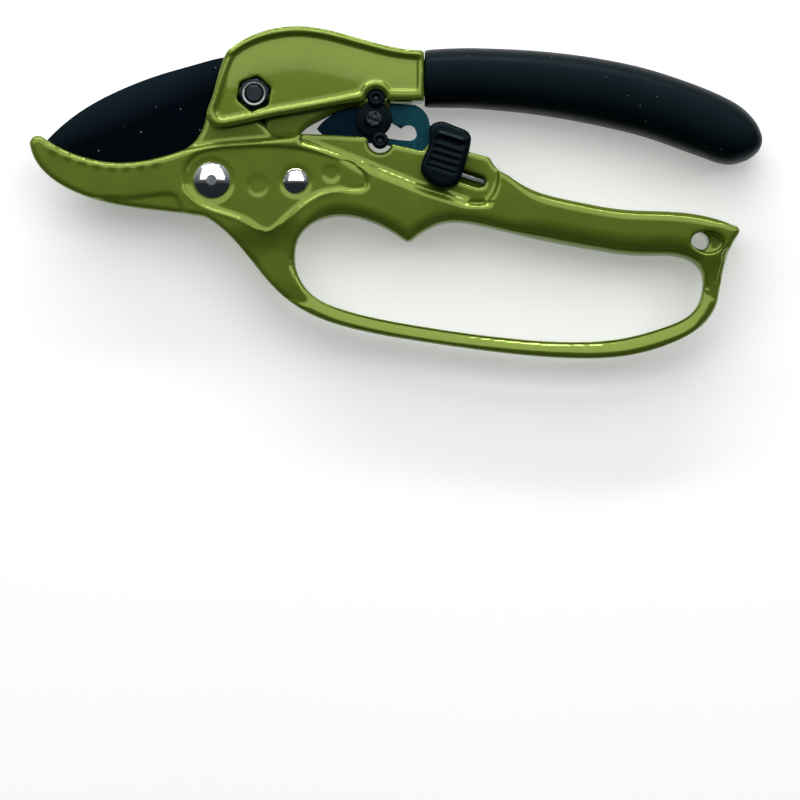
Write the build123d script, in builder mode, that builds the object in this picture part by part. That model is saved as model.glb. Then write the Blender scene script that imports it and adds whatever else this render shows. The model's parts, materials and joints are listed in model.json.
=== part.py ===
from build123d import *
import os
from math import copysign, cos, radians, sin, sqrt

os.makedirs("parts", exist_ok=True)

# Ratchet bypass pruner with a hand guard, closed and lying flat on its back.
# +X runs from the jaw to the handles, +Y from the guard to the grip, +Z up.
# Everything is drawn around the main pivot, with height 0 in the middle of the blade.

# ---- place of the main pivot in the part's frame: origin is the box's bottom centre ----
pivot_x = -52.85
pivot_y = 3.5
mid_height = 9.9
main_pivot = Vector(pivot_x, pivot_y, mid_height)

# ---- pivots and pins, around the main pivot (mm) ----
handle_pivot = (12.2, 24.6)      # upper handle on the blade's tang
stop_point = (24.1, -0.3)        # small rivet that ties the head and stops the blade
drive_point = (46.4, 17.6)       # pin of the upper handle in the ratchet plate
ratchet_pivot = (65.0, 7.5)      # ratchet plate on the lower casting
hang_point = (139.9, -17.5)      # hole to hang the tool by
upper_seat = (47.1, 23.3)        # half-round seats for the ends of the spring
lower_seat = (48.2, 11.3)

# ---- travel from closed to open (degrees) ----
blade_travel = 22.0
handle_travel = 14.0             # upper handle against the lower casting
plate_travel = 24.2

# ---- thicknesses: heights from the blade's middle plane ----
blade_half = 1.5
plate_half = 1.2
casting_half = 7.2
guard_half = 4.8
wall_inner = 3.8                 # hollow of the head between its two walls
boss_inner = 2.05                # bosses reach in as far as the washers
skirt_half = 4.7                 # lower step of the head above its rim
skirt_reach = 22.2               # keeps the step clear of the bosses as they swing past
panel_half = 6.1                 # sunk panel round the rivets
platform_half = 5.8              # sunk platform under the lock
flange_inner = 1.8
flange_half = 3.5
cheek_inner = 7.5                # cheeks of the upper casting pass outside the head
cheek_half = 9.8
border_sink = 0.45
grip_half = 9.88
grip_end_half = 3.6
grip_corner = 6.4
grip_taper_from = 0.8
grip_stations = 16
tang_half = 5.5

# ---- radii ----
rivet_r = 3.0
rivet_head_r = 5.25
bush_r = 4.5
hub_r = 8.0                      # blade round its pivot
bolt_r = 2.5
stop_rivet_r = 1.75
stop_head_r = 3.65
stop_sleeve_r = 3.0
drive_pin_r = 1.5
ratchet_pin_r = 2.0
hang_r = 2.6
mouth_depth = 3.0
running_gap = 0.06
coil_r = 4.35
hub_cap_r = 5.0
spring_wire_r = 0.6

# ---- lock ----
lock_start = (70.6, 1.6)
lock_angle = -17.5
slot_length = 10.6
slot_width = 3.6


def level(height):
    """Plane parallel to the blade, with its origin on the main pivot."""
    return Plane(origin=(pivot_x, pivot_y, mid_height + height))


def turning(point):
    """Upright plane through a pin's axis: local x is the radius, local y the height."""
    return Plane(
        origin=(pivot_x + point[0], pivot_y + point[1], mid_height),
        x_dir=(1, 0, 0),
        z_dir=(0, -1, 0),
    )


def pin_axis(point):
    return Axis((pivot_x + point[0], pivot_y + point[1], 0), (0, 0, 1))


def turned(point, angle, about=(0, 0)):
    """A point of the plan turned about another, anticlockwise in degrees."""
    turn = radians(angle)
    dx = point[0] - about[0]
    dy = point[1] - about[1]
    return (
        about[0] + dx * cos(turn) - dy * sin(turn),
        about[1] + dx * sin(turn) + dy * cos(turn),
    )


def drive_point_on_plate(share):
    """Where the drive pin stands in the ratchet plate, at a share of the travel."""
    bolt_now = turned(handle_pivot, -blade_travel * share)
    arm = (drive_point[0] - handle_pivot[0], drive_point[1] - handle_pivot[1])
    arm_now = turned(arm, handle_travel * share)
    pin_now = (bolt_now[0] + arm_now[0], bolt_now[1] + arm_now[1])
    return turned(pin_now, plate_travel * share, ratchet_pivot)


def along_lock(distance, across=0.0):
    """A point along the lock's slot, from the catch's place when locked."""
    turn = radians(lock_angle)
    return (
        lock_start[0] + distance * cos(turn) - across * sin(turn),
        lock_start[1] + distance * sin(turn) + across * cos(turn),
    )


def dome(outer, base, height, inner=0.0):
    """Arc of a rivet's dome, centred on its axis, from radius inner out to radius outer."""
    ball = (outer**2 + height**2) / (2 * abs(height))
    centre = base + height - copysign(ball, height)
    middle = (inner + outer) / 2
    rise = [centre + copysign(sqrt(ball**2 - r**2), height) for r in (inner, middle)]
    ThreePointArc((inner, rise[0]), (middle, rise[1]), (outer, base))
    return rise[0]


def finish(part, name):
    part.label = name
    export_step(part, f"parts/{name}.step")


# ---- lower casting: jaw, head, lock platform, handle and guard ----
rim = [(-8.2, 8.7), (0, 10.2), (12, 11.4), (24.6, 12.7)]
rim_end = (24.9, 13.4)

with BuildPart() as lower_handle:
    with BuildSketch(level(-casting_half)):
        with BuildLine():
            ThreePointArc((-52.2, 10.4), (-51.2, 12.4), (-48.4, 12.4))
            Spline((-48.4, 12.4), (-40, 7.8), (-28, 5.1), (-16, 6.3), (-8.2, 8.7))
            Spline(*rim)
            Line(rim[-1], rim_end)
            Spline(rim_end, (34, 13.1), (44.9, 12.4))
            ThreePointArc((44.9, 12.4), (48.2, 7.9), (51.5, 10.5))
            Line((51.5, 10.5), (60.6, 8.5))
            ThreePointArc((60.6, 8.5), (66.2, 12.2), (72.4, 8.6))
            Line((72.4, 8.6), (79.6, 6.6))
            Spline((79.6, 6.6), (82, 3.2), (85, 1.4))
            Spline((85, 1.4), (92, -2.7), (104, -5.9), (118, -8.3), (130, -8.8), (149.6, -12.9))
            ThreePointArc((149.6, -12.9), (151.1, -13.8), (150.9, -15.4))
            Spline((150.9, -15.4), (148, -20.8), (146.4, -27), (145, -35))
            Spline(
                (145, -35), (141, -41.2), (132, -46.6), (118, -50.4), (104, -51), (84, -49.5),
                (60, -46.2), (40, -42.4), (28, -38.2), (18, -31), (8, -19), (-2, -10.4),
            )
            Spline((-2, -10.4), (-16, -8.6), (-30, -6.4), (-42, -2), (-49, 3.5), (-52.2, 10.4))
        make_face()
        # finger opening inside the guard
        with BuildLine():
            Spline(
                (57.6, -17), (61.5, -14.3), (66, -12.4), (76, -12.8), (92, -16.6), (108, -19.7),
                (124, -21.6), (136, -22.6), (139.9, -25.6), (140.8, -31), (138.3, -37.2),
                (130, -41.9), (116, -45.5), (100, -46.2), (80, -44.6), (56, -41.1), (38, -37.1),
                (28, -32), (23.8, -23.5), (26, -14.8), (34, -10.5), (44, -11.4), (55, -17.2),
            )
            ThreePointArc((55, -17.2), (56.3, -17.7), (57.6, -17))
        make_face(mode=Mode.SUBTRACT)
    extrude(amount=2 * casting_half)
    # the blade passes behind the jaw
    with BuildSketch(level(-casting_half)):
        with BuildLine():
            Polyline((-60, 20), (-60, -20), (-7.2, -20), (-7.2, -7.6))
            ThreePointArc((-7.2, -7.6), (-10.5, 0), (-7.2, 7.6))
            Polyline((-7.2, 7.6), (-7.2, 20), (-60, 20))
        make_face()
    extrude(amount=casting_half + blade_half + 0.12, mode=Mode.SUBTRACT)
    with BuildSketch(level(-wall_inner)):
        with Locations((-10, 4)):
            Rectangle(10, 18)
    extrude(amount=wall_inner + blade_half + 0.12, mode=Mode.SUBTRACT)
    # the guard is thinner than the handle
    with BuildSketch(level(guard_half), level(-casting_half)):
        with BuildLine():
            Polyline((6, -24), (20, -20), (25, -24), (60, -36), (130, -36), (150, -26))
            Polyline((150, -26), (160, -60), (0, -60), (6, -24))
        make_face()
    extrude(amount=casting_half - guard_half, mode=Mode.SUBTRACT)
    # hollow head, open along the rim, for the tang, the flange and the ratchet plate
    with BuildSketch(level(-wall_inner)):
        with BuildLine():
            CenterArc((0, 0), hub_r + 0.6, 180, 90)
            Polyline(
                (0, -hub_r - 0.6), (4, -8.2), (10, -5.8), (30, -5.2), (44, -2.4), (60, -0.2),
                (68.6, 0.4), (71.4, 7.5), (71.4, 30), (-hub_r - 0.6, 30), (-hub_r - 0.6, 0),
            )
        make_face()
    extrude(amount=2 * wall_inner, mode=Mode.SUBTRACT)
    # lower step above the rim, on both walls
    with BuildSketch(level(wall_inner), level(-skirt_half)):
        with BuildLine():
            Spline((-8.2, 8.7), (-4, 13), (-2.1, 18))
            sweep_edge = CenterArc((0, 0), skirt_reach, 92, -63)
            Line((-2.1, 18), sweep_edge @ 0)
            Line(sweep_edge @ 1, (18.6, 10.4))
            Spline((18.6, 10.4), (12, 10.2), (0, 9.2), (-8.2, 7.7))
            Line((-8.2, 7.7), (-8.2, 8.7))
        make_face()
    extrude(amount=skirt_half - wall_inner)
    # bosses round the pivots
    for side in (1, -1):
        with BuildSketch(level(side * boss_inner)):
            Circle(6.4)
        extrude(amount=side * (wall_inner - boss_inner))
        with BuildSketch(level(side * (plate_half + 0.5))):
            with Locations(ratchet_pivot):
                Circle(4.2)
        extrude(amount=side * (wall_inner - plate_half - 0.5))
    # sunk panel round the two rivets
    with BuildSketch(level(panel_half)):
        with BuildLine():
            Spline(
                (-7.8, 1.5), (-5, 7), (2, 9), (14, 9.6), (26, 8.9), (36, 6.2), (44, 1.6),
                (44.4, -1.6), (37, -2.6), (29, -5), (22, -10.4), (16, -15), (9, -11.4),
                (0, -8.2), (-6, -4.6), (-7.8, 1.5),
            )
        make_face()
    extrude(amount=casting_half - panel_half, mode=Mode.SUBTRACT)
    # sunk platform under the lock, on the upper side of a long slanting step
    with BuildSketch(level(platform_half)):
        with BuildLine():
            Polyline((25.4, 11.6), (44, 4.6), (62, -2.6), (73, -6))
            Spline((73, -6), (79, -6), (81.6, -2), (80.6, 7))
            Polyline((80.6, 7), (80, 30), (25.4, 30), (25.4, 11.6))
        make_face()
    extrude(amount=casting_half - platform_half, mode=Mode.SUBTRACT)
    # slot that the lock's catch travels in
    with BuildSketch(level(wall_inner - 2.2)):
        with Locations(Location((*along_lock(slot_length / 2 - 2.4), 0), lock_angle)):
            SlotOverall(slot_length, slot_width)
    extrude(amount=6, mode=Mode.SUBTRACT)
    # hole to hang the tool by, with a dished mouth on the front
    with BuildSketch(level(casting_half - mouth_depth)):
        with Locations((hang_point[0] + 2.1, hang_point[1] - 0.3)):
            Ellipse(hang_r + 2.2, hang_r + 0.6)
    extrude(amount=mouth_depth, mode=Mode.SUBTRACT)
    # bores for the hanging hole, the rivets and the ratchet pivot
    with BuildSketch(level(-casting_half)):
        with Locations(hang_point):
            Circle(hang_r)
        Circle(rivet_r)
        with Locations(stop_point):
            Circle(stop_rivet_r)
        with Locations(ratchet_pivot):
            Circle(ratchet_pin_r)
    extrude(amount=2 * casting_half, mode=Mode.SUBTRACT)
finish(lower_handle.part, "lower_handle")

# ---- blade: bypass edge, hub round the main pivot and tang up to the handle pivot ----
with BuildPart() as blade:
    with BuildSketch(level(-blade_half)):
        with BuildLine():
            Spline(
                (-47.6, 11.6), (-44, 15.2), (-36, 21.2), (-26.4, 26.2), (-14.9, 30.6),
                (-3.4, 33.9), (6.2, 35.6), (12.2, 33.1),
            )
            ThreePointArc((12.2, 33.1), (20.7, 24.6), (21.9, 14.6))
            Spline((21.9, 14.6), (14.5, 9.5), (7.6, 2.5))
            ThreePointArc((7.6, 2.5), (0, -hub_r), (-7.6, -2.5))
            Spline((-7.6, -2.5), (-12, 0.2), (-22, 1.2), (-34, 3.2), (-42, 7), (-47.6, 11.6))
        make_face()
    extrude(amount=2 * blade_half)
    with BuildSketch(level(-blade_half)):
        Circle(bush_r + running_gap)
        with Locations(handle_pivot):
            Circle(3.5 + running_gap)
    extrude(amount=2 * blade_half, mode=Mode.SUBTRACT)
    # ground bevel along the cutting edge, on the side away from the jaw
    cutting_edge = blade.edges().group_by(Axis.Z)[0].filter_by(GeomType.BSPLINE).sort_by(Axis.Y)[0]
    chamfer(cutting_edge, length=1.3, length2=2.6)
finish(blade.part, "blade")

# ---- main pivot: rivet, bush and washers ----
with BuildPart() as main_rivet:
    with BuildSketch(turning((0, 0))):
        with BuildLine():
            top = dome(rivet_head_r, panel_half + 0.3, 2.0, inner=1.5)
            Polyline(
                (rivet_head_r, panel_half + 0.3), (rivet_head_r - 0.2, panel_half),
                (rivet_r - 0.02, panel_half), (rivet_r - 0.02, -casting_half - 0.8),
                (4.4, -casting_half - 0.8),
            )
            bottom = dome(4.4, -casting_half - 0.8, -1.3)
            Polyline((0, bottom), (0, top), (1.5, top))
        make_face()
    revolve(axis=pin_axis((0, 0)))
finish(main_rivet.part, "main_rivet")

with BuildPart() as main_rivet_washer:
    with BuildSketch(level(-casting_half - 0.78)):
        Circle(6.2)
        Circle(rivet_r + 0.05, mode=Mode.SUBTRACT)
    extrude(amount=0.76)
finish(main_rivet_washer.part, "main_rivet_washer")

with BuildPart() as main_pivot_bush:
    with BuildSketch(level(-boss_inner)):
        Circle(bush_r)
        Circle(rivet_r + 0.02, mode=Mode.SUBTRACT)
    extrude(amount=2 * boss_inner)
finish(main_pivot_bush.part, "main_pivot_bush")

with BuildPart() as blade_washers:
    with BuildSketch(level(blade_half + 0.05), level(-boss_inner + 0.01)):
        Circle(6.2)
        Circle(bush_r + 0.02, mode=Mode.SUBTRACT)
    extrude(amount=boss_inner - blade_half - 0.06)
finish(blade_washers.part, "blade_washers")

# ---- stop rivet with its spacer sleeve ----
with BuildPart() as stop_rivet:
    with BuildSketch(turning(stop_point)):
        with BuildLine():
            top = dome(stop_head_r, panel_half + 0.3, 1.6)
            Polyline(
                (stop_head_r, panel_half + 0.3), (stop_head_r - 0.2, panel_half),
                (stop_rivet_r - 0.02, panel_half), (stop_rivet_r - 0.02, -casting_half),
                (3.0, -casting_half),
            )
            bottom = dome(3.0, -casting_half, -1.1)
            Line((0, bottom), (0, top))
        make_face()
    revolve(axis=pin_axis(stop_point))
finish(stop_rivet.part, "stop_rivet")

with BuildPart() as stop_sleeve:
    with BuildSketch(level(-wall_inner)):
        with Locations(stop_point):
            Circle(stop_sleeve_r)
            Circle(stop_rivet_r + 0.02, mode=Mode.SUBTRACT)
    extrude(amount=2 * wall_inner)
finish(stop_sleeve.part, "stop_sleeve")

# ---- ratchet plate: slot along the drive pin's travel, notches in its upper edge ----
with BuildPart() as ratchet_plate:
    with BuildSketch(level(-plate_half)):
        with BuildLine():
            Spline((30, 15), (35, 19.4), (43, 21.8), (52, 22.3), (58, 21.9))
            ThreePointArc((58, 21.9), (61.2, 19.6), (62.4, 16.2))
            Spline((62.4, 16.2), (65.4, 13.4), (69.4, 10))
            ThreePointArc((69.4, 10), (67.5, 3.2), (60.6, 5.1))
            Spline((60.6, 5.1), (53, 9.6), (44, 11), (36, 11.4), (30, 15))
        make_face()
        with Locations(ratchet_pivot):
            Circle(ratchet_pin_r + running_gap, mode=Mode.SUBTRACT)
        for step in range(13):
            with Locations(drive_point_on_plate(step / 12)):
                Circle(drive_pin_r + 0.3, mode=Mode.SUBTRACT)
        with BuildLine():
            Spline((47.6, 15.2), (50.4, 15.9), (51.6, 16.3), (52.9, 15.9))
            Line((52.9, 15.9), (54.2, 15.1))
            Spline((54.2, 15.1), (55.4, 15.9), (57, 16), (58.4, 14.6))
            Spline((58.4, 14.6), (58.5, 12.6), (57, 11.6))
            Spline((57, 11.6), (53, 11.9), (48, 12.9))
            Line((48, 12.9), (47.6, 15.2))
        make_face(mode=Mode.SUBTRACT)
    extrude(amount=2 * plate_half)
finish(ratchet_plate.part, "ratchet_plate")

with BuildPart() as ratchet_pivot_pin:
    with BuildSketch(level(-casting_half - 0.6)):
        with Locations(ratchet_pivot):
            Circle(3.4)
    extrude(amount=0.6)
    with BuildSketch(level(-casting_half)):
        with Locations(ratchet_pivot):
            Circle(ratchet_pin_r - 0.02)
    extrude(amount=casting_half + platform_half - 0.2)
finish(ratchet_pivot_pin.part, "ratchet_pivot_pin")

with BuildPart() as ratchet_pivot_washers:
    with BuildSketch(level(plate_half + 0.05), level(-plate_half - 0.49)):
        with Locations(ratchet_pivot):
            Circle(4.2)
            Circle(ratchet_pin_r + 0.02, mode=Mode.SUBTRACT)
    extrude(amount=0.44)
finish(ratchet_pivot_washers.part, "ratchet_pivot_washers")

# ---- upper casting: two cheeks joined by a web, flanges inside, tang into the grip ----
seat_left = (43.9, 22.6)
seat_right = (50.2, 22.7)
cheek_end_x = 60.8


def draw_cheek():
    """Outline of a cheek, with the half-round seat in its lower edge."""
    Spline((4.6, 37), (2.2, 31), (0.6, 25), (-1.2, 20.2))
    Spline((-1.2, 20.2), (-0.9, 16.6), (2.4, 14.9))
    Spline((2.4, 14.9), (10, 16.3), (17, 17.9), (28, 19.9), (36, 21.4), seat_left)
    ThreePointArc(seat_left, (47.0, 26.1), seat_right)
    Polyline(seat_right, (cheek_end_x, 22.6), (cheek_end_x, 37.1))
    Spline(
        (cheek_end_x, 37.1), (52, 38), (44, 40), (32, 43.2), (24, 44), (16, 42.9),
        (10, 40.6), (4.6, 37),
    )


def draw_tang():
    """Outline of the casting's tang inside the grip."""
    Spline((58, 34), (76, 34.2), (96, 32.8), (116, 29.6), (134, 23.8), (144, 18))
    ThreePointArc((144, 18), (146.4, 14), (143.6, 11.2))
    Spline((143.6, 11.2), (130, 16), (112, 20.6), (92, 23.6), (74, 25), (58, 25.2))
    Line((58, 25.2), (58, 34))


with BuildPart() as upper_handle:
    with BuildSketch(level(-cheek_half)):
        with BuildLine():
            draw_cheek()
        make_face()
    extrude(amount=2 * cheek_half)
    # slot between the cheeks for the tang, the head and the ratchet plate
    with BuildSketch(level(-cheek_inner)):
        with BuildLine():
            Polyline((-20, 0), (57.4, 0), (57.4, 33.4))
            Spline((57.4, 33.4), (50, 34.9), (42, 37.3), (32, 39.9), (24, 40.8), (17, 40), (14, 39))
            Polyline((14, 39), (14, 60), (-20, 60), (-20, 0))
        make_face()
    extrude(amount=2 * cheek_inner, mode=Mode.SUBTRACT)
    for side in (1, -1):
        # bosses round the handle pivot
        with BuildSketch(level(side * boss_inner)):
            with Locations(handle_pivot):
                Circle(4.6)
        extrude(amount=side * (cheek_inner - boss_inner))
        # flange inside the lower edge, and the lug for the drive pin
        with BuildSketch(level(side * flange_inner)):
            with BuildLine():
                Polyline((15.4, 19), (14.8, 12.2), (24.6, 12))
                Spline((24.6, 12), (26.6, 15), (30, 17), (36, 19.9), (42.4, 21.4))
                Polyline((42.4, 21.4), (42.4, 24.4))
                Spline((42.4, 24.4), (36, 23.4), (28, 21.8), (15.4, 19))
            make_face()
            with BuildLine():
                Polyline(
                    (43.4, 17.4), (41.6, 22), (41.6, 23.6), (43, 24.6), (52, 24.6), (49.4, 17.4),
                    (43.4, 17.4),
                )
            make_face()
            with Locations(drive_point):
                Circle(3.1)
        extrude(amount=side * (flange_half - flange_inner))
        # risers that carry the flange and the lug on the cheek
        with BuildSketch(level(side * flange_half)):
            with BuildLine():
                Spline((20, 19.9), (28, 21), (36, 22.4), (42.6, 23.6))
                Line((42.6, 23.6), (42.6, 26.4))
                Spline((42.6, 26.4), (36, 25), (28, 23.4), (20, 22))
                Line((20, 22), (20, 19.9))
            make_face()
            with BuildLine():
                Polyline((42.6, 26.6), (57.8, 26.6), (57.8, 23), (51.6, 23), (50, 26.5))
                ThreePointArc((50, 26.5), (47, 27.2), (44, 26.5))
                Polyline((44, 26.5), (42.6, 26.4), (42.6, 26.6))
            make_face()
        extrude(amount=side * (cheek_inner - flange_half))
    # sunk face inside a raised border
    with BuildSketch(level(cheek_half - border_sink), level(-cheek_half)):
        with BuildLine():
            Spline((6.4, 36.1), (4.1, 31), (2.5, 25.4), (0.8, 20.6))
            Spline((0.8, 20.6), (1, 18.2), (3.2, 17))
            Spline((3.2, 17), (10, 18.3), (17, 19.8), (28, 21.7), (36, 23.2), (43, 24.7))
            ThreePointArc((43, 24.7), (47.0, 28.0), (50.8, 25.4))
            Line((50.8, 25.4), (57.6, 25.3))
            ThreePointArc((57.6, 25.3), (58.8, 25.8), (59.3, 27))
            Line((59.3, 27), (59.3, 35.3))
            Spline(
                (59.3, 35.3), (52, 36.2), (44, 38.2), (32, 41.3), (24, 42.1), (16, 41),
                (10, 38.8), (6.4, 36.1),
            )
        make_face()
    extrude(amount=border_sink, mode=Mode.SUBTRACT)
    # tang inside the grip
    with BuildSketch(level(-tang_half)):
        with BuildLine():
            draw_tang()
        make_face()
    extrude(amount=2 * tang_half)
    # hexagonal pockets and the bolt's bore
    for side in (1, -1):
        with BuildSketch(level(side * 5.4)):
            with Locations(handle_pivot):
                RegularPolygon(4.55, 6, major_radius=False, rotation=20)
        extrude(amount=side * 5, mode=Mode.SUBTRACT)
    with BuildSketch(level(-cheek_half)):
        with Locations(handle_pivot):
            Circle(bolt_r + 0.02)
        with Locations(drive_point):
            Circle(drive_pin_r + 0.02)
    extrude(amount=2 * cheek_half, mode=Mode.SUBTRACT)
finish(upper_handle.part, "upper_handle")

# ---- soft grip over the tang ----
grip_top = Spline(
    (61, 37.7), (76, 38.2), (92, 37.5), (108, 35.7), (124, 32.5), (140, 27.2), (150.6, 22.2),
    (155.6, 17.6), (157.6, 12.8),
)
grip_bottom = Spline(
    (61, 21.2), (76, 20.9), (92, 19.3), (108, 16.6), (124, 12.8), (138, 7.9), (147, 4.9),
    (153.6, 6.2), (156.6, 9.2),
)
with BuildPart() as grip:
    for station in range(grip_stations + 1):
        along = station / grip_stations
        upper = main_pivot + grip_top @ along
        lower = main_pivot + grip_bottom @ along
        across = upper - lower
        closing = max(0.0, (along - grip_taper_from) / (1 - grip_taper_from)) ** 2.2
        half = grip_half - (grip_half - grip_end_half) * closing
        section = Plane(
            origin=(upper + lower) / 2, x_dir=across, z_dir=across.cross(Vector(0, 0, -1))
        )
        with BuildSketch(section):
            RectangleRounded(
                across.length, 2 * half, min(grip_corner, 0.46 * across.length, 0.8 * half)
            )
    loft()
    with BuildSketch(level(-tang_half)):
        with BuildLine():
            draw_tang()
        make_face()
    extrude(amount=2 * tang_half, mode=Mode.SUBTRACT)
finish(grip.part, "grip")

# ---- handle pivot: bolt, nut, bush and washers ----
with BuildPart() as handle_bolt:
    with BuildSketch(level(-cheek_half + 0.2)):
        with Locations(handle_pivot):
            RegularPolygon(4.0, 6, major_radius=False, rotation=20)
    extrude(amount=3.6)
    with BuildSketch(level(-cheek_half + 0.2)):
        with Locations(handle_pivot):
            Circle(bolt_r)
    extrude(amount=2 * cheek_half - 0.3)
    chamfer(handle_bolt.faces().sort_by(Axis.Z)[-1].edges(), length=0.3)
finish(handle_bolt.part, "handle_bolt")

with BuildPart() as handle_nut:
    with BuildSketch(level(5.42)):
        with Locations(handle_pivot):
            RegularPolygon(4.0, 6, major_radius=False, rotation=20)
            Circle(bolt_r + 0.02, mode=Mode.SUBTRACT)
    extrude(amount=3.9)
    # rounded corners of the nut's face
    with BuildSketch(turning(handle_pivot)):
        with BuildLine():
            Polyline((3.9, 9.32), (4.8, 8.8), (4.8, 9.5), (3.9, 9.5), (3.9, 9.32))
        make_face()
    revolve(axis=pin_axis(handle_pivot), mode=Mode.SUBTRACT)
finish(handle_nut.part, "handle_nut")

with BuildPart() as handle_pivot_bush:
    with BuildSketch(level(-boss_inner + 0.01)):
        with Locations(handle_pivot):
            Circle(3.5)
            Circle(bolt_r + 0.02, mode=Mode.SUBTRACT)
    extrude(amount=2 * boss_inner - 0.02)
finish(handle_pivot_bush.part, "handle_pivot_bush")

with BuildPart() as tang_washers:
    with BuildSketch(level(blade_half + 0.05), level(-boss_inner + 0.01)):
        with Locations(handle_pivot):
            Circle(4.6)
            Circle(3.52, mode=Mode.SUBTRACT)
    extrude(amount=boss_inner - blade_half - 0.06)
finish(tang_washers.part, "tang_washers")

# ---- drive pin with its spool, clip and spring ----
with BuildPart() as drive_pin:
    with BuildSketch(level(-4.6)):
        with Locations(drive_point):
            Circle(drive_pin_r)
    extrude(amount=4.6 + 6.6)
    with BuildSketch(level(6.6)):
        with Locations(drive_point):
            Circle(2.2)
    extrude(amount=0.8)
    # three dimples from staking the head
    with BuildSketch(level(7.1)):
        with Locations(drive_point):
            with PolarLocations(1.15, 3, start_angle=70):
                Circle(0.42)
    extrude(amount=0.4, mode=Mode.SUBTRACT)
finish(drive_pin.part, "drive_pin")

coil_level = flange_half + 0.6 + spring_wire_r
with BuildPart() as spring_hub:
    with BuildSketch(level(flange_half + 0.05)):
        with Locations(drive_point):
            Circle(5.2)
            Circle(drive_pin_r + 0.02, mode=Mode.SUBTRACT)
    extrude(amount=0.5)
    with BuildSketch(level(flange_half + 0.55)):
        with Locations(drive_point):
            Circle(2.4)
            Circle(drive_pin_r + 0.02, mode=Mode.SUBTRACT)
    extrude(amount=2.5)
    # cap over the coil
    with BuildSketch(level(coil_level + spring_wire_r + running_gap)):
        with Locations(drive_point):
            Circle(hub_cap_r)
            Circle(drive_pin_r + 0.02, mode=Mode.SUBTRACT)
    extrude(amount=0.64)
finish(spring_hub.part, "spring_hub")

with BuildPart() as drive_pin_clip:
    with BuildSketch(level(-flange_half - 0.9)):
        with Locations(drive_point):
            Circle(2.6)
            Circle(drive_pin_r + 0.02, mode=Mode.SUBTRACT)
    extrude(amount=0.8)
finish(drive_pin_clip.part, "drive_pin_clip")

roller_low = platform_half + 0.25
roller_height = 2.7
with BuildPart() as return_spring:
    with BuildSketch(turning(drive_point)):
        with Locations((coil_r, coil_level)):
            Circle(spring_wire_r)
    revolve(axis=pin_axis(drive_point))
    # each leg runs out from the coil and turns up through its roller
    for seat in (upper_seat, lower_seat):
        with BuildSketch(level(coil_level - spring_wire_r)):
            with Locations(seat):
                Circle(spring_wire_r)
        extrude(amount=roller_low + roller_height - coil_level + spring_wire_r)
        with BuildSketch(level(coil_level - spring_wire_r)):
            with BuildLine():
                run = Line(seat, drive_point)
            trace(run, line_width=1.8 * spring_wire_r)
            with Locations(drive_point):
                Circle(coil_r - 0.3, mode=Mode.SUBTRACT)
        extrude(amount=2 * spring_wire_r)
finish(return_spring.part, "return_spring")

with BuildPart() as spring_rollers:
    with BuildSketch(level(roller_low)):
        with Locations(upper_seat):
            Circle(2.5)
        with Locations(lower_seat):
            Circle(2.4)
        with Locations(upper_seat, lower_seat):
            Circle(spring_wire_r + 0.02, mode=Mode.SUBTRACT)
    extrude(amount=roller_height)
    chamfer(spring_rollers.faces().group_by(Axis.Z)[-1].edges(), length=0.5)
finish(spring_rollers.part, "spring_rollers")

# ---- lock: rail on the platform, thumb button and its catch in the slot ----
with BuildPart() as lock_rail:
    with BuildSketch(level(wall_inner - 2.2)):
        with Locations(Location((*along_lock(4.2, 0.35), 0), lock_angle)):
            Rectangle(7.0, 1.0)
    extrude(amount=2.6)
finish(lock_rail.part, "lock_rail")

with BuildPart() as lock_button:
    with BuildSketch(level(platform_half + 0.1)):
        with BuildLine():
            Spline((63.2, 16), (66, 16.7), (70, 15.3), (73.4, 13.7), (74.3, 11.6))
            Spline((74.3, 11.6), (73.4, 7), (71.6, 1.6))
            Spline((71.6, 1.6), (69.8, -1.6), (66.8, -2.6), (62, -0.6), (59.8, 2.6))
            Spline((59.8, 2.6), (61, 7.4), (62.3, 11), (62.1, 14), (63.2, 16))
        make_face()
    extrude(amount=3.9)
    chamfer(lock_button.faces().sort_by(Axis.Z)[-1].edges(), length=0.8)
finish(lock_button.part, "lock_button")

with BuildPart() as lock_catch:
    with BuildSketch(level(wall_inner + 0.6)):
        with Locations(along_lock(-0.4)):
            Circle(1.3)
    extrude(amount=platform_half + 0.1 - wall_inner - 0.6)
finish(lock_catch.part, "lock_catch")
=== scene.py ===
"""Ratchet bypass pruner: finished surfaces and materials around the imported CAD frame."""
import json
import math

import bpy
import numpy as np
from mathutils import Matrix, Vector, kdtree


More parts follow.
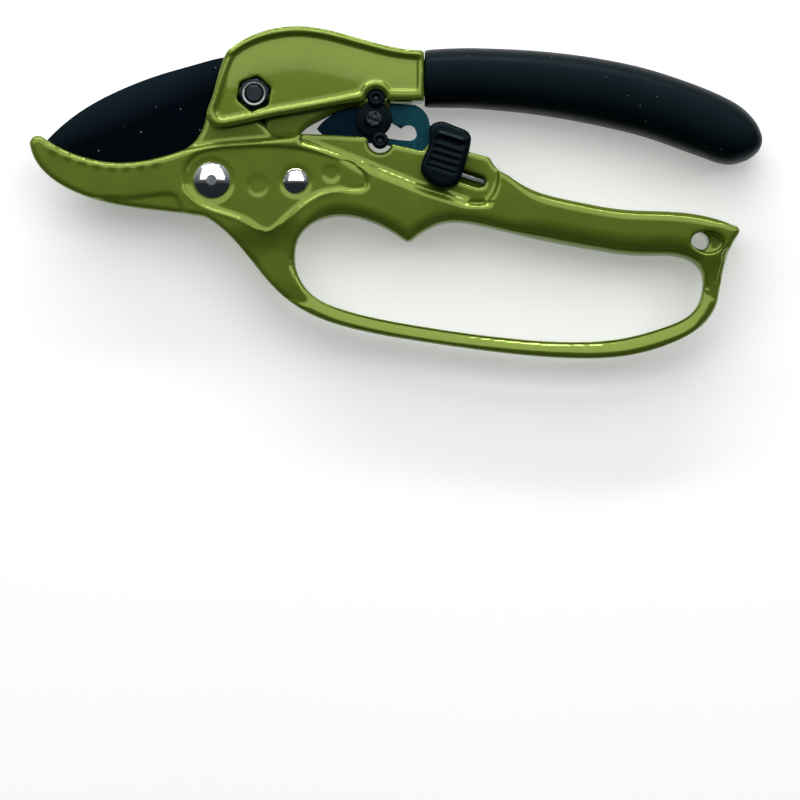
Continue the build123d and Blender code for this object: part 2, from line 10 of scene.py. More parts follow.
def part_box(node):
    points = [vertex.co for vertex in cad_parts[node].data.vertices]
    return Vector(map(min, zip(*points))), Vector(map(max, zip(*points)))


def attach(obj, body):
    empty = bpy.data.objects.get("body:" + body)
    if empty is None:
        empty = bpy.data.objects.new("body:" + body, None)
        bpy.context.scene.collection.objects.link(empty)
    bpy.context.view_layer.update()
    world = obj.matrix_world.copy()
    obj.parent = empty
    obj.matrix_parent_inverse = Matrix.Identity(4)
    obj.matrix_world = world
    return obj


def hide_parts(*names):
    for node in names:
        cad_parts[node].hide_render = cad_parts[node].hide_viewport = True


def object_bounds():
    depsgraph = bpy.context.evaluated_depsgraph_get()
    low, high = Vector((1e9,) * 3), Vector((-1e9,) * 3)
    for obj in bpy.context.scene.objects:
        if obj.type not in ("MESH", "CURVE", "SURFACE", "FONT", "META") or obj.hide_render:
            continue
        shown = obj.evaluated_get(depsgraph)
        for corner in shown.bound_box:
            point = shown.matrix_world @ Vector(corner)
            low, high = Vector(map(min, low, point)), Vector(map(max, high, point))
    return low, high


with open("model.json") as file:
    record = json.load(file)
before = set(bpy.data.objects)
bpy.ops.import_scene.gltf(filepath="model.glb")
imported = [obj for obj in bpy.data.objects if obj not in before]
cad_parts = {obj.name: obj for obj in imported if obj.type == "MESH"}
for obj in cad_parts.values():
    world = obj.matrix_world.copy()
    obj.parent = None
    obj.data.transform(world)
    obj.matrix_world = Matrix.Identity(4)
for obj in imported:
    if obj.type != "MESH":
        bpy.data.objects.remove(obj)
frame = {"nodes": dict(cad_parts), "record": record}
nodes = frame["nodes"]
cad_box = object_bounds()
scene = bpy.context.scene

# ---- frame of reference: millimetres from the main pivot, height 0 in the blade's middle ----
MM = 0.001


def middle(node):
    """The middle of a node's box."""
    low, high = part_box(node)
    return (low + high) / 2


rivet_middle = middle("main_rivet")
PIVOT = Vector((rivet_middle.x, rivet_middle.y, middle("blade").z))


def place(x, y, z=0.0):
    """A point in the row frame, in metres, from millimetres around the main pivot."""
    return PIVOT + Vector((x, y, z)) * MM


def from_pivot(point):
    """A point's x and y, in millimetres from the main pivot."""
    offset = (point - PIVOT) / MM
    return offset.x, offset.y


stop_point = from_pivot(middle("stop_rivet"))
nut_point = from_pivot(middle("handle_nut"))


# ---- small numeric helpers ----
def smoothstep(low, high, value):
    t = np.clip((value - low) / (high - low), 0.0, 1.0)
    return t * t * (3 - 2 * t)


def near_line(x, y, line):
    """Distance from points to a polyline, and which side of it they are on (left is positive)."""
    best = np.full(x.shape, 1e9)
    side = np.zeros(x.shape)
    for (x0, y0), (x1, y1) in zip(line, line[1:]):
        dx, dy = x1 - x0, y1 - y0
        t = np.clip(((x - x0) * dx + (y - y0) * dy) / (dx * dx + dy * dy), 0, 1)
        distance = np.hypot(x - x0 - t * dx, y - y0 - t * dy)
        closer = distance < best
        turn = np.sign(dx * (y - y0) - dy * (x - x0))
        best = np.where(closer, distance, best)
        side = np.where(closer, turn, side)
    return best, side


def curved(line, steps=8):
    """More points along a line, on a Catmull-Rom curve through its own."""
    points = [line[0], *line, line[-1]]
    out = []
    for p0, p1, p2, p3 in zip(points, points[1:], points[2:], points[3:]):
        for step in range(steps):
            t = step / steps
            out.append(tuple(
                0.5 * (2 * b + (c - a) * t + (2 * a - 5 * b + 4 * c - d) * t * t
                       + (3 * b - a - 3 * c + d) * t ** 3)
                for a, b, c, d in zip(p0, p1, p2, p3)
            ))
    return out + [line[-1]]


# ---- castings: the CAD shape remeshed, with rounded edges and cast relief ----
def evaluated(piece):
    """Applies a piece's modifiers to its mesh."""
    graph = bpy.context.evaluated_depsgraph_get()
    mesh = bpy.data.meshes.new_from_object(piece.evaluated_get(graph))
    piece.modifiers.clear()
    piece.data = mesh
    return mesh


def new_piece(name, mesh):
    """A piece from a mesh, linked to the scene."""
    piece = bpy.data.objects.new(name, mesh)
    scene.collection.objects.link(piece)
    return piece


def remeshed_copy(node, name, voxel):
    """A copy of a node's mesh, rebuilt as an even grid; voxel is its size in millimetres."""
    piece = new_piece(name, nodes[node].data.copy())
    weld = piece.modifiers.new("weld", "WELD")
    weld.merge_threshold = 0.002 * MM
    remesh = piece.modifiers.new("remesh", "REMESH")
    remesh.mode = "VOXEL"
    remesh.voxel_size = voxel * MM
    evaluated(piece)
    return piece


def points_of(mesh):
    """The mesh's points, in millimetres from the main pivot."""
    values = np.zeros(len(mesh.vertices) * 3, np.float32)
    mesh.vertices.foreach_get("co", values)
    return (values.reshape(-1, 3).astype(float) - np.array(PIVOT)) / MM


def move_points(mesh, co):
    """Puts the mesh's points where co says, in millimetres from the main pivot."""
    mesh.vertices.foreach_set("co", (co * MM + np.array(PIVOT)).ravel())
    mesh.update()


def normals_of(mesh):
    values = np.zeros(len(mesh.vertices) * 3, np.float32)
    mesh.vertex_normals.foreach_get("vector", values)
    return values.reshape(-1, 3).astype(float)


def tree_of(points):
    """A search tree over the points' x and y."""
    tree = kdtree.KDTree(len(points))
    for index, (x, y) in enumerate(points[:, :2]):
        tree.insert((x, y, 0.0), index)
    tree.balance()
    return tree


def relaxed(mesh, co, rounds, hold=None):
    """Evens out the points with their neighbours; hold is how far each keeps its place."""
    edges = np.zeros(len(mesh.edges) * 2, np.int64)
    mesh.edges.foreach_get("vertices", edges)
    a, b = edges.reshape(-1, 2).T
    count = np.bincount(a, minlength=len(co)) + np.bincount(b, minlength=len(co))
    share = 0.5 if hold is None else 0.5 * (1 - hold)[:, None]
    for _ in range(rounds):
        total = np.stack([
            np.bincount(a, co[b, axis], len(co)) + np.bincount(b, co[a, axis], len(co))
            for axis in range(3)
        ], axis=1)
        co = co + share * (total / count[:, None] - co)
    return co


def rounded(co, normal, side, band, radius_at, skip):
    """Rounds the edges between the outer walls and the front (side 1) or back (side -1) face.

    band is the height range in which every wall belongs to the outline. Each point near an edge
    goes from its place in a square corner to the same place in a quarter circle."""
    height = co[:, 2] * side
    flat = np.hypot(normal[:, 0], normal[:, 1])
    wall = (height > band[0]) & (height < band[1]) & (flat > 0.7) & ~skip(co[:, 0], co[:, 1])
    top = (height > band[0]) & (normal[:, 2] * side > 0.8)
    wall_points, wall_normals = co[wall], normal[wall]
    inward = -wall_normals[:, :2] / np.maximum(flat[wall], 1e-6)[:, None]
    wall_tree, top_tree = tree_of(wall_points), tree_of(co[top])
    top_height = height[top]
    probe = wall_points[:, :2] + inward * 1.0
    edge_height = np.array([top_height[top_tree.find((x, y, 0.0))[1]] for x, y in probe])
    radius = radius_at(wall_points[:, 0], wall_points[:, 1], side)
    moved = co.copy()
    for index in np.nonzero(height > edge_height.min() - radius.max())[0]:
        x, y = co[index, :2]
        _, nearest, distance = wall_tree.find((x, y, 0.0))
        r, rise = radius[nearest], height[index] - (edge_height[nearest] - radius[nearest])
        if distance >= r or rise <= 0:
            continue
        across = np.array((x, y)) - wall_points[nearest, :2] + 0.3 * inward[nearest]
        across /= max(np.hypot(*across), 1e-6)
        square = max(r - distance, rise)
        shrink = square / math.hypot(r - distance, rise)
        moved[index, :2] += across * ((r - distance) * (1 - shrink))
        moved[index, 2] -= side * rise * (1 - shrink)
    return moved


def cast(node, name, voxel, band, radius_at, skip, relief, faces, settle=None):
    """A casting from its CAD node: settled, rounded front and back, given its relief, thinned."""
    piece = remeshed_copy(node, name, voxel)
    mesh = piece.data
    co = points_of(mesh)
    if settle is not None:
        co = settle(mesh, co)
    co = relaxed(mesh, co, 2)
    move_points(mesh, co)
    normal = normals_of(mesh)
    for side in (1, -1):
        co = rounded(co, normal, side, band, radius_at, skip)
    front = smoothstep(band[0] - 0.4, band[0] + 0.3, co[:, 2])
    co[:, 2] += front * relief(*co.T)
    move_points(mesh, relaxed(mesh, co, 3))
    thin = piece.modifiers.new("decimate", "DECIMATE")
    thin.ratio = min(1.0, faces / max(1, 2 * len(mesh.polygons)))
    mesh = evaluated(piece)
    mesh.shade_smooth()
    return piece


# lower casting: jaw, head, handle and guard
step_line = [(24, 12.4), (44, 4.6), (62, -2.6), (73, -6), (79, -6)]
hook_step = curved([
    (-36, -5.4), (-30, -4.7), (-24, -4.8), (-14, -3.7), (-11, -3.9), (-9.4, -5.4), (-7.4, -10),
])
jaw_bevel = curved([(-46, 9.4), (-40, 6.9), (-28, 4.2), (-16, 5.4)])
guard_ridge = curved([
    (28, -36.6), (36, -40), (48, -43.1), (64, -46), (84, -48.2), (104, -49.3), (118, -48.7),
    (132, -45), (139, -41.2), (143.4, -35),
])
# a line across each end of the guard, and how far from it the handle is back to full thickness
guard_ends = (([(6, -24), (20, -20), (25, -24)], 11.0), ([(130, -36), (150, -26)], 9.0))
GUARD_HALF = 4.8                  # half the guard's thickness
CASTING_HALF = (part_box("lower_handle")[1].z - PIVOT.z) / MM
PANEL_HALF = 6.1                  # height of the sunk panel round the rivets
PANEL_LIFT = 0.45                 # how much shallower it gets away from them
panel_edge = curved([
    (-7.8, 1.5), (-5, 7), (2, 9), (14, 9.6), (26, 8.9), (36, 6.2), (44, 1.6), (44.4, -1.6),
    (37, -2.6), (29, -5), (22, -10.4), (16, -15), (9, -11.4), (0, -8.2), (-6, -4.6), (-7.8, 1.5),
])


def lower_radius(x, y, side):
    """Corner radius along the lower casting's outline."""
    platform = smoothstep(-1.0, 1.5, y + 0.39 * (x - 44) - 4.6) * (1 - smoothstep(82, 92, x))
    guard = smoothstep(30, 36, -y)
    loop = smoothstep(24, 34, x) * smoothstep(6, 9, -y)
    handle = smoothstep(84, 96, x)
    lower_edge = handle * smoothstep(-1.0, 1.0, -10.5 - 0.05 * (x - 100) - y)
    radius = 1.3 + 2.7 * loop * (1 - handle) + 1.3 * handle + 3.6 * lower_edge
    radius = radius * (1 - platform) + 0.8 * platform
    radius = radius * (1 - guard) + 1.5 * guard
    rear = smoothstep(138, 141, x) * smoothstep(19, 24, -y)
    radius = radius * (1 - rear) + 2.3 * rear
    tail = smoothstep(142, 149, x) * (1 - smoothstep(19, 22, -y))
    return radius * (1 - tail) + 1.6 * tail


def lower_skip(x, y):
    """Walls that aren't part of the lower casting's outline: holes and the lock's slot."""
    rivet = np.hypot(x, y) < 4.5
    stop = np.hypot(x - stop_point[0], y - stop_point[1]) < 3.5
    mouth = ((x - 142) / 5.6) ** 2 + ((y + 17.8) / 4.2) ** 2 < 1
    slot = (np.abs(x - 73.4) < 8.0) & (np.abs(y - 0.7 + 0.315 * (x - 73.4)) < 3.4)
    return rivet | stop | mouth | slot


def thin_to_guard(mesh, co):
    """The thick handle thins down smoothly to the guard's thickness at both ends of the guard."""
    hold = np.ones(len(co))
    for line, reach in guard_ends:
        distance, hand = near_line(co[:, 0], co[:, 1], line)
        near = (hand > 0) | (distance < 0.8)
        rise = (CASTING_HALF - GUARD_HALF) * smoothstep(0, reach, distance * (hand > 0))
        level = np.where(near, GUARD_HALF + rise, CASTING_HALF)
        co[:, 2] = np.clip(co[:, 2], -level, level)
        hold = np.minimum(hold, smoothstep(1.6, 3.2, distance))
    return relaxed(mesh, co, 50, hold)


def lower_relief(x, y, z):
    """Cast relief on the front of the lower casting, in millimetres."""
    rise = np.zeros(x.shape)
    from_rivet = np.hypot(x, y)
    from_stop = np.hypot(x - stop_point[0], y - stop_point[1])
    for mark, size, depth in (((13.2, -1.4), 2.9, 0.10), ((34.2, 1.9), 2.3, 0.16)):
        rise -= depth * (1 - smoothstep(size - 0.3, size + 0.3, np.hypot(x - mark[0], y - mark[1])))
    distance, hand = near_line(x, y, hook_step)
    below = (hand < 0) & (x < -7)
    rise -= 0.55 * below * smoothstep(0.0, 0.4, distance)
    distance, hand = near_line(x, y, step_line)
    terrace = (hand < 0) & (x > 25) & (x < 80)
    rise -= 0.7 * terrace * (1 - smoothstep(0.9, 1.5, distance))
    # the sunk panel is shallower away from the rivets
    open_floor = 0.5 + 0.5 * smoothstep(5.9, 6.7, from_rivet) * smoothstep(4.0, 4.7, from_stop)
    distance, hand = near_line(x, y, panel_edge)
    inside = (hand < 0) & (z > PANEL_HALF - 0.2)
    rise += inside * open_floor * np.clip(PANEL_HALF + PANEL_LIFT - z, 0, PANEL_LIFT)
    # ridge along the panel's lower edge
    lower_side = 1 - smoothstep(-4.0, -1.5, y)
    rise += 0.30 * np.exp(-((distance - 0.2) / 0.45) ** 2) * lower_side
    # small beads left along the jaw's bevel
    bead = np.sin(3.4 * x) * np.sin(1.9 * x + 1.1)
    edge, _ = near_line(x, y, jaw_bevel)
    rise += 0.70 * np.clip(bead, 0, 1) * np.exp(-((edge - 0.6) / 0.7) ** 2)
    # ridge along the guard
    distance, hand = near_line(x, y, guard_ridge)
    slope = np.where(hand > 0, 0.42, 0.14)
    rise -= slope * np.clip(distance, 0, 2.6) * smoothstep(28, 41, -y)
    return rise


lower = cast(
    "lower_handle", "lower_casting", 0.42, (4.25, 5.55),
    lower_radius, lower_skip, lower_relief, 150_000, thin_to_guard,
)

# upper casting: cheeks, web, flanges and tang
LIP_RISE = 0.45                   # the cheek's lip above its sunk face
SUNK_FACE = (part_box("upper_handle")[1].z - PIVOT.z) / MM - LIP_RISE
face_top = curved([
    (6, 36.4), (10, 38.8), (16, 41), (24, 42.1), (32, 41.3), (44, 38.2), (52, 36.2), (60, 35.3),
])


def upper_radius(x, y, side):
    """Corner radius along the upper casting's outline: full along the back, small below."""
    spine_sheen = smoothstep(30, 33, y)
    return 0.7 + 0.8 * spine_sheen


def upper_skip(x, y):
    """Walls of the hexagonal pockets round the handle pivot."""
    return np.hypot(x - nut_point[0], y - nut_point[1]) < 6.2


def upper_relief(x, y, z):
    """The sunk face is cut a little deeper, and bends back towards the upper edge."""
    sunk = np.abs(z - SUNK_FACE) < 0.15
    distance, hand = near_line(x, y, face_top)
    inside = (hand < 0) & (y > 17) & (x < 60)
    bend = np.clip((11 - distance) / 11, 0, 1) ** 2
    return -0.6 * bend * inside * smoothstep(0.0, 0.8, distance) - 0.35 * sunk


upper = cast(
    "upper_handle", "upper_casting", 0.42, (8.0, 9.2),
    upper_radius, upper_skip, upper_relief, 110_000,
)

# ---- thumb lock: pad with ribs and a lip ----
LOCK_TURN = math.radians(-17.5)
RIB_LINES = (-3.6, -1.6, 0.4, 2.4)
LIP_LINE = 5.4


def make_lock():
    """The lock button with softened edges, cross ribs and a lip at its upper end."""
    low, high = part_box("lock_button")
    piece = remeshed_copy("lock_button", "lock_pad", 0.28)
    mesh = piece.data
    co = relaxed(mesh, points_of(mesh), 7)
    x, y = from_pivot((low + high) / 2)
    turn_x, turn_y = math.cos(LOCK_TURN), math.sin(LOCK_TURN)
    along = (co[:, 0] - x) * turn_x + (co[:, 1] - y) * turn_y
    across = -(co[:, 0] - x) * turn_y + (co[:, 1] - y) * turn_x
    top = smoothstep(0.0, 1.2, co[:, 2] - (high.z - PIVOT.z) / MM + 1.6)
    inner = 1 - smoothstep(3.4, 4.2, np.abs(along))
    ribs = sum(np.exp(-((across - line) / 0.38) ** 2) for line in RIB_LINES)
    lip = np.exp(-((across - LIP_LINE) / 0.5) ** 2)
    co[:, 2] += top * inner * (0.32 * ribs + 0.75 * lip - 0.25 * (np.abs(across) < 4.6))
    move_points(mesh, relaxed(mesh, co, 2))
    thin = piece.modifiers.new("decimate", "DECIMATE")
    thin.ratio = min(1.0, 24_000 / (2 * len(mesh.polygons)))
    evaluated(piece).shade_smooth()
    return piece


lock = make_lock()

# ---- soft grip: a sleeve lofted between its upper and lower edges ----
grip_low, grip_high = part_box("grip")
GRIP_HALF = (grip_high.z - grip_low.z) / 2 / MM
GRIP_CLOSING = 0.84               # share of the length where the end starts to close
GRIP_POWER = 2 / 2.6               # 1 is an ellipse, less is squarer
grip_top = curved([
    (61, 37.7), (68, 38.1), (76, 38.2), (92, 37.5), (108, 35.7), (124, 32.5), (140, 27.2),
    (150.4, 22.3), (155.4, 17.8), (157.6, 13.6), (157.8, 10.9),
], 12)
grip_bottom = curved([
    (61, 21.2), (68, 21.15), (76, 20.9), (92, 19.3), (108, 16.6), (124, 12.8), (138, 7.9),
    (147, 4.9), (152.8, 5.7), (156.6, 8.2), (157.8, 10.9),
], 12)


def at_share(line, share):
    """The point a given share of the way along a line."""
    lengths = [0.0]
    for (x0, y0), (x1, y1) in zip(line, line[1:]):
        lengths.append(lengths[-1] + math.hypot(x1 - x0, y1 - y0))
    goal = share * lengths[-1]
    return (np.interp(goal, lengths, [p[0] for p in line]),
            np.interp(goal, lengths, [p[1] for p in line]))


def make_grip(rows=180, around=72):
    """Rows of rounded sections that close to a point at the domed end."""
    points, faces = [], []
    for row in range(rows):
        share = row / rows
        top, bottom = at_share(grip_top, share), at_share(grip_bottom, share)
        cx, cy = (top[0] + bottom[0]) / 2, (top[1] + bottom[1]) / 2
        ax, ay = (top[0] - bottom[0]) / 2, (top[1] - bottom[1]) / 2
        closing = max(0.0, (share - GRIP_CLOSING) / (1 - GRIP_CLOSING))
        half = GRIP_HALF * math.sqrt(1 - closing ** 3)
        lead = 1 - 0.035 * math.exp(-row / 1.2)      # softened edge of the open end
        for turn in range(around):
            angle = 2 * math.pi * turn / around
            c, s = math.cos(angle), math.sin(angle)
            u = math.copysign(abs(c) ** GRIP_POWER, c) * lead
            v = math.copysign(abs(s) ** GRIP_POWER, s) * lead
            points.append(place(cx + ax * u, cy + ay * u, v * half))
    for row in range(rows - 1):
        for turn in range(around):
            a, b = row * around + turn, row * around + (turn + 1) % around
            faces.append((a, b, b + around, a + around))
    last = (rows - 1) * around
    points.append(place(*grip_top[-1]))
    faces += [(last + turn, last + (turn + 1) % around, len(points) - 1) for turn in range(around)]
    faces.append(tuple(range(around - 1, -1, -1)))
    mesh = bpy.data.meshes.new("soft_sleeve")
    mesh.from_pydata([tuple(p) for p in points], [], faces)
    mesh.update()
    mesh.shade_smooth()
    return new_piece("soft_sleeve", mesh)


grip = make_grip()

# ---- small parts keep their CAD shape, with softened edges ----
soft_edges = {
    "blade": 0.12, "main_rivet_washer": 0.15, "ratchet_plate": 0.18, "handle_nut": 0.2,
    "handle_bolt": 0.15, "drive_pin_clip": 0.1, "spring_rollers": 0.3, "spring_hub": 0.25,
    "lock_catch": 0.1, "lock_rail": 0.1, "ratchet_pivot_pin": 0.15, "ratchet_pivot_washers": 0.06,
    "blade_washers": 0.05, "tang_washers": 0.05, "drive_pin": 0.1,
}
for node, width in soft_edges.items():
    part = nodes[node]
    part.data.shade_smooth()
    weld = part.modifiers.new("weld", "WELD")
    weld.merge_threshold = 0.001 * MM
    bevel = part.modifiers.new("edges", "BEVEL")
    bevel.width = width * MM
    bevel.segments = 2
    bevel.limit_method = "ANGLE"
    bevel.angle_limit = math.radians(35)
    bevel.harden_normals = True
    flat_faces = part.modifiers.new("flat_faces", "WEIGHTED_NORMAL")
    flat_faces.keep_sharp = True
    flat_faces.weight = 100


# ---- materials ----
class Shader:
    """A material's node tree with short calls for the nodes used here."""

    def __init__(self, name, **inputs):
        self.material = bpy.data.materials.new(name)
        self.material.use_nodes = True
        self.tree = self.material.node_tree
        self.surface = self.tree.nodes["Principled BSDF"]
        for key, value in inputs.items():
            self.surface.inputs[key.replace("_", " ")].default_value = value
        self.where = self.node("ShaderNodeTexCoord").outputs["Object"]

    def node(self, kind, **settings):
        made = self.tree.nodes.new(kind)
        for key, value in settings.items():
            setattr(made, key, value)
        return made

    def link(self, start, end):
        self.tree.links.new(start, end)

    def stretched(self, scale, angle=0.0):
        mapping = self.node("ShaderNodeMapping")
        mapping.inputs["Scale"].default_value = scale
        mapping.inputs["Rotation"].default_value = (0, 0, angle)
        self.link(self.where, mapping.inputs["Vector"])
        return mapping.outputs["Vector"]

    def noise(self, scale, detail=3.0, rough=0.55, where=None):
        made = self.node("ShaderNodeTexNoise")
        made.inputs["Scale"].default_value = scale
        made.inputs["Detail"].default_value = detail
        made.inputs["Roughness"].default_value = rough
        self.link(where or self.where, made.inputs["Vector"])
        return made.outputs["Fac"]

    def specks(self, scale, size):
        """Small round dots: 1 inside a dot, 0 elsewhere."""
        cells = self.node("ShaderNodeTexVoronoi")
        cells.inputs["Scale"].default_value = scale
        self.link(self.where, cells.inputs["Vector"])
        return self.spread(cells.outputs["Distance"], size, size * 0.6, 0.0, 1.0)

    def spread(self, value, low, high, to_low, to_high):
        made = self.node("ShaderNodeMapRange")
        for key, number in (("From Min", low), ("From Max", high), ("To Min", to_low), ("To Max", to_high)):
            made.inputs[key].default_value = number
        self.link(value, made.inputs["Value"])
        return made.outputs["Result"]

    def along(self, start, direction, low, high):
        """0 to 1 between two distances, in millimetres back from a point along a direction."""
        offset = self.node("ShaderNodeVectorMath", operation="SUBTRACT")
        self.link(self.where, offset.inputs[0])
        offset.inputs[1].default_value = start
        dot = self.node("ShaderNodeVectorMath", operation="DOT_PRODUCT")
        self.link(offset.outputs[0], dot.inputs[0])
        dot.inputs[1].default_value = (direction[0] / MM, direction[1] / MM, 0)
        return self.spread(dot.outputs["Value"], -high, low, 0.0, 1.0)

    def ramp(self, value, stops):
        made = self.node("ShaderNodeValToRGB")
        band = made.color_ramp
        while len(band.elements) < len(stops):
            band.elements.new(0.5)
        for element, (position, colour) in zip(band.elements, stops):
            element.position = position
            element.color = (*colour, 1.0)
        self.link(value, made.inputs["Fac"])
        return made.outputs["Color"]

    def mix(self, share, first, second):
        made = self.node("ShaderNodeMix", data_type="RGBA")
        for value, socket in ((share, made.inputs[0]), (first, made.inputs[6]), (second, made.inputs[7])):
            if isinstance(value, tuple):
                socket.default_value = (*value, 1.0)
            elif isinstance(value, float):
                socket.default_value = value
            else:
                self.link(value, socket)
        return made.outputs[2]

    def bump(self, height, strength, distance, before=None):
        made = self.node("ShaderNodeBump")
        made.inputs["Strength"].default_value = strength
        made.inputs["Distance"].default_value = distance * MM
        self.link(height, made.inputs["Height"])
        if before is not None:
            self.link(before, made.inputs["Normal"])
        return made.outputs["Normal"]

    def finish(self, colour=None, roughness=None, normal=None, metallic=None):
        for socket, name in ((colour, "Base Color"), (roughness, "Roughness"),
                             (normal, "Normal"), (metallic, "Metallic")):
            if socket is not None:
                self.link(socket, self.surface.inputs[name])
        return self.material


def green_enamel():
    """Metallic olive-green lacquer over a die casting, with orange peel and dust pits."""
    s = Shader("green_enamel", Metallic=0.46, Specular_IOR_Level=0.12, Coat_Weight=0.4, Coat_Roughness=0.03)
    tint = s.ramp(s.noise(45, 4), [(0.3, (0.150, 0.210, 0.022)), (0.7, (0.162, 0.226, 0.025))])
    pits = s.specks(260, 0.09)
    colour = s.mix(pits, tint, (0.115, 0.16, 0.022))
    rough = s.spread(s.noise(160, 4), 0.3, 0.7, 0.13, 0.19)
    peel = s.bump(s.noise(420, 2), 0.08, 0.10)
    normal = s.bump(s.noise(1900, 2), 0.10, 0.03, peel)
    return s.finish(colour, rough, normal)


def coated_blade():
    """Black low-friction coating over ground steel: fine grain, a painted reflection lighter towards the
    spine, a few bright nicks.
    """
    s = Shader("coated_blade", Specular_IOR_Level=0.03, Specular_Tint=(0.55, 0.85, 1.0, 1.0))
    tint = s.ramp(s.noise(60, 5), [(0.3, (0.0004, 0.0006, 0.0022)), (0.7, (0.0009, 0.0013, 0.0035))])
    # painted reflection: the colour grows lighter towards the spine, as if the glossy coat caught the light
    # there
    spine_sheen = s.along(place(-12, 33), (-0.38, 0.92), 0.0, 11.0)
    tint_with_sheen = s.mix(spine_sheen, tint, (0.0090, 0.0190, 0.0260))
    nick = s.specks(300, 0.06)
    colour = s.mix(nick, tint_with_sheen, (0.30, 0.33, 0.36))
    rough = s.spread(s.noise(330, 3), 0.3, 0.7, 0.24, 0.31)
    normal = s.bump(s.noise(2600, 2), 0.15, 0.02)
    return s.finish(colour, rough, normal)


def soft_grip():
    """Matt black thermoplastic rubber with a fine moulded grain and a little dust."""
    s = Shader("soft_grip", Specular_IOR_Level=0.085, Specular_Tint=(0.45, 0.85, 1.0, 1.0))
    tint = s.ramp(s.noise(70, 5), [(0.3, (0.0012, 0.0032, 0.0045)), (0.7, (0.0024, 0.0050, 0.0066))])
    dust = s.specks(260, 0.05)
    colour = s.mix(dust, tint, (0.16, 0.17, 0.18))
    rough = s.spread(s.noise(240, 4), 0.3, 0.7, 0.34, 0.44)
    grain = s.bump(s.noise(2400, 2), 0.30, 0.05)
    normal = s.bump(s.noise(120, 3), 0.12, 0.25, grain)
    return s.finish(colour, rough, normal)


def steel(name, light, dark, low, high, grain=0.05):
    """Bare or plated metal with a mottled tone and fine scratches."""
    s = Shader(name, Metallic=1.0)
    colour = s.ramp(s.noise(300, 4), [(0.3, dark), (0.7, light)])
    scratch = s.noise(900, 3, where=s.stretched((1.0, 0.08, 1.0), math.radians(35)))
    rough = s.spread(scratch, 0.3, 0.7, low, high)
    normal = s.bump(scratch, grain, 0.02)
    return s.finish(colour, rough, normal)


def blued_steel():
    """Heat-blued plate, with painted shade darkening it towards the arm under the coil."""
    s = Shader("blued_steel", Metallic=1.0)
    mottled = s.ramp(s.noise(300, 4), [(0.3, (0.008, 0.052, 0.072)), (0.7, (0.012, 0.070, 0.095))])
    # painted shade: the plate goes from its lit right end to nearly black towards the arm under the coil
    lit = s.along(place(58, 14), (1, 0), 0.0, 16.0)
    colour = s.mix(lit, (0.004, 0.012, 0.022), mottled)
    rough = s.spread(s.noise(900, 3), 0.3, 0.7, 0.24, 0.36)
    return s.finish(colour, rough, s.bump(s.noise(1500, 2), 0.08, 0.02))


def nut_steel():
    """Black-plated locking nut: a painted highlight ring on the chamfer round the thread, the rest dark."""
    s = Shader("nut_steel", Metallic=1.0)
    offset = s.node("ShaderNodeVectorMath", operation="SUBTRACT")
    s.link(s.where, offset.inputs[0])
    offset.inputs[1].default_value = middle("handle_nut")
    flat = s.node("ShaderNodeVectorMath", operation="MULTIPLY")
    s.link(offset.outputs[0], flat.inputs[0])
    flat.inputs[1].default_value = (1000, 1000, 0)
    radius = s.node("ShaderNodeVectorMath", operation="LENGTH")
    s.link(flat.outputs[0], radius.inputs[0])
    # painted highlight: a bright ring on the chamfer round the thread, dark inside and outside it
    share = s.spread(radius.outputs["Value"], 2.0, 4.6, 0.0, 1.0)
    dark, highlight_grey = (0.018, 0.021, 0.026), (0.42, 0.44, 0.42)
    chamfer_highlight = s.ramp(share, [
        (0.0, dark), (0.28, dark), (0.34, highlight_grey), (0.48, highlight_grey), (0.54, dark), (1.0, dark),
    ])
    mottled = s.mix(s.spread(s.noise(700, 4), 0.3, 0.7, 0.0, 0.25), chamfer_highlight, dark)
    rough = s.spread(s.noise(500, 3), 0.3, 0.7, 0.22, 0.36)
    return s.finish(mottled, rough, s.bump(s.noise(1500, 2), 0.1, 0.02))


def black_plastic():
    """Moulded glass-filled nylon: dark, slightly glossy, fine texture."""
    s = Shader("black_plastic", Specular_IOR_Level=0.11, Specular_Tint=(0.55, 0.88, 1.0, 1.0))
    tint = s.ramp(s.noise(150, 4), [(0.3, (0.0010, 0.0022, 0.0034)), (0.7, (0.0020, 0.0038, 0.0055))])
    rough = s.spread(s.noise(500, 3), 0.3, 0.7, 0.18, 0.30)
    normal = s.bump(s.noise(1800, 2), 0.20, 0.04)
    return s.finish(tint, rough, normal)


def floor_paint():
    """Matt pale studio paper."""
    s = Shader("studio_floor", Roughness=0.9, Emission_Color=(1, 1, 1, 1), Emission_Strength=0.32)
    colour = s.ramp(s.noise(3, 2), [(0.3, (0.88, 0.88, 0.88)), (0.7, (0.90, 0.90, 0.90))])
    return s.finish(colour, None, s.bump(s.noise(400, 2), 0.05, 0.05))


finishes = {
    "green_enamel": green_enamel(),
    "coated_blade": coated_blade(),
    "soft_grip": soft_grip(),
    "bright_steel": steel("bright_steel", (0.90, 0.90, 0.92), (0.82, 0.83, 0.86), 0.06, 0.14, 0.03),
    "zinc_steel": steel("zinc_steel", (0.62, 0.63, 0.64), (0.45, 0.46, 0.48), 0.24, 0.42),
    "dark_steel": steel("dark_steel", (0.048, 0.055, 0.066), (0.022, 0.027, 0.034), 0.25, 0.40),
    "blued_steel": blued_steel(),
    "black_plastic": black_plastic(),
}

slot_of = {entry["node"]: entry["material_slot"] for entry in frame["record"]["subparts"]}


def paint(piece, finish_name):
    piece.data.materials.clear()
    piece.data.materials.append(finishes[finish_name])


for node, part in nodes.items():
    for index in range(len(part.material_slots)):
        part.material_slots[index].link = "OBJECT"
        part.material_slots[index].material = finishes[slot_of[node]]

nodes["handle_nut"].material_slots[0].material = nut_steel()

for piece, body, replaced in (
    (lower, "lower", "lower_handle"),
    (upper, "upper", "upper_handle"),
    (grip, "upper", "grip"),
    (lock, "lock", "lock_button"),
):
    paint(piece, slot_of[replaced])
    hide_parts(replaced)
    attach(piece, body)

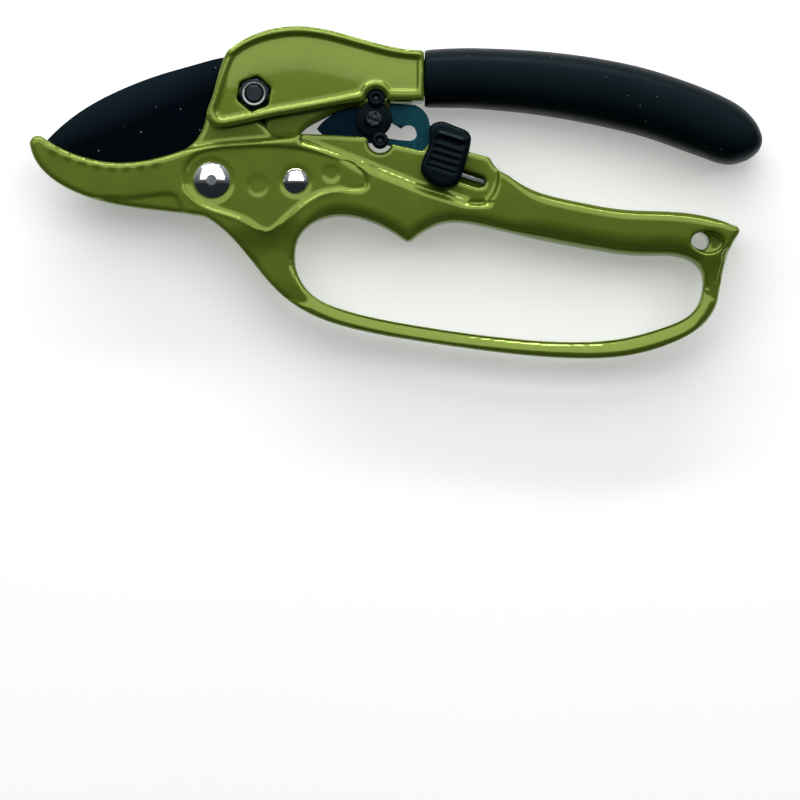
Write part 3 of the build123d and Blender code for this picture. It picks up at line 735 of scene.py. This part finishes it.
# ---- floor, light and camera ----
FLOOR_HALF = 3.0
floor_mesh = bpy.data.meshes.new("floor")
floor_mesh.from_pydata(
    [(-FLOOR_HALF, -FLOOR_HALF, 0), (FLOOR_HALF, -FLOOR_HALF, 0),
     (FLOOR_HALF, FLOOR_HALF, 0), (-FLOOR_HALF, FLOOR_HALF, 0)], [], [(0, 1, 2, 3)],
)
floor = new_piece("floor", floor_mesh)
floor.location.z = cad_box[0].z - 0.0002
floor_mesh.materials.append(floor_paint())

FRAME_WIDTH = 229.2 * MM          # width that the picture takes in, at the object
CAMERA_HEIGHT = 1.3               # above the object, in metres
view_centre = place(53.9, -62.9, 5.0)


def softbox(name, at, aim, size, power):
    """A rectangular area light, aimed from one point at another."""
    light = bpy.data.lights.new(name, "AREA")
    light.shape = "RECTANGLE"
    light.size, light.size_y = size
    light.energy = power
    lamp = bpy.data.objects.new(name, light)
    lamp.location = at
    lamp.rotation_euler = (Vector(aim) - Vector(at)).to_track_quat("-Z", "Y").to_euler()
    scene.collection.objects.link(lamp)


softbox("key_light", place(50, 900, 900), place(50, 900, 0), (2.4, 1.6), 18.5)
softbox("edge_light", place(-150, 1500, 560), place(50, 0, 0), (1.8, 0.12), 18.0)
softbox("side_light", place(900, 330, 700), place(20, 10, 0), (0.16, 0.16), 0.7)


def studio_sky():
    """Dark on the guard's side, rising to soft grey on the grip's side."""
    world = bpy.data.worlds.new("studio")
    world.use_nodes = True
    scene.world = world
    sky = world.node_tree
    direction = sky.nodes.new("ShaderNodeTexCoord")
    parts = sky.nodes.new("ShaderNodeSeparateXYZ")
    shift = sky.nodes.new("ShaderNodeMapRange")
    shift.inputs["From Min"].default_value = -1.0
    tone = sky.nodes.new("ShaderNodeValToRGB")
    dark, light = tone.color_ramp.elements
    dark.position, dark.color = 0.4, (0.018, 0.021, 0.023, 1)
    light.position, light.color = 0.95, (0.40, 0.42, 0.43, 1)
    sky.links.new(direction.outputs["Generated"], parts.inputs[0])
    sky.links.new(parts.outputs["Y"], shift.inputs["Value"])
    sky.links.new(shift.outputs["Result"], tone.inputs["Fac"])
    sky.links.new(tone.outputs["Color"], sky.nodes["Background"].inputs["Color"])


studio_sky()

camera_data = bpy.data.cameras.new("camera")
camera_data.sensor_width = 36.0
camera_data.lens = 36.0 * CAMERA_HEIGHT / FRAME_WIDTH
camera_data.clip_start = 0.01
camera = bpy.data.objects.new("camera", camera_data)
camera.location = view_centre + Vector((0, 0, CAMERA_HEIGHT))
scene.collection.objects.link(camera)
scene.camera = camera
scene.view_settings.view_transform = "Standard"
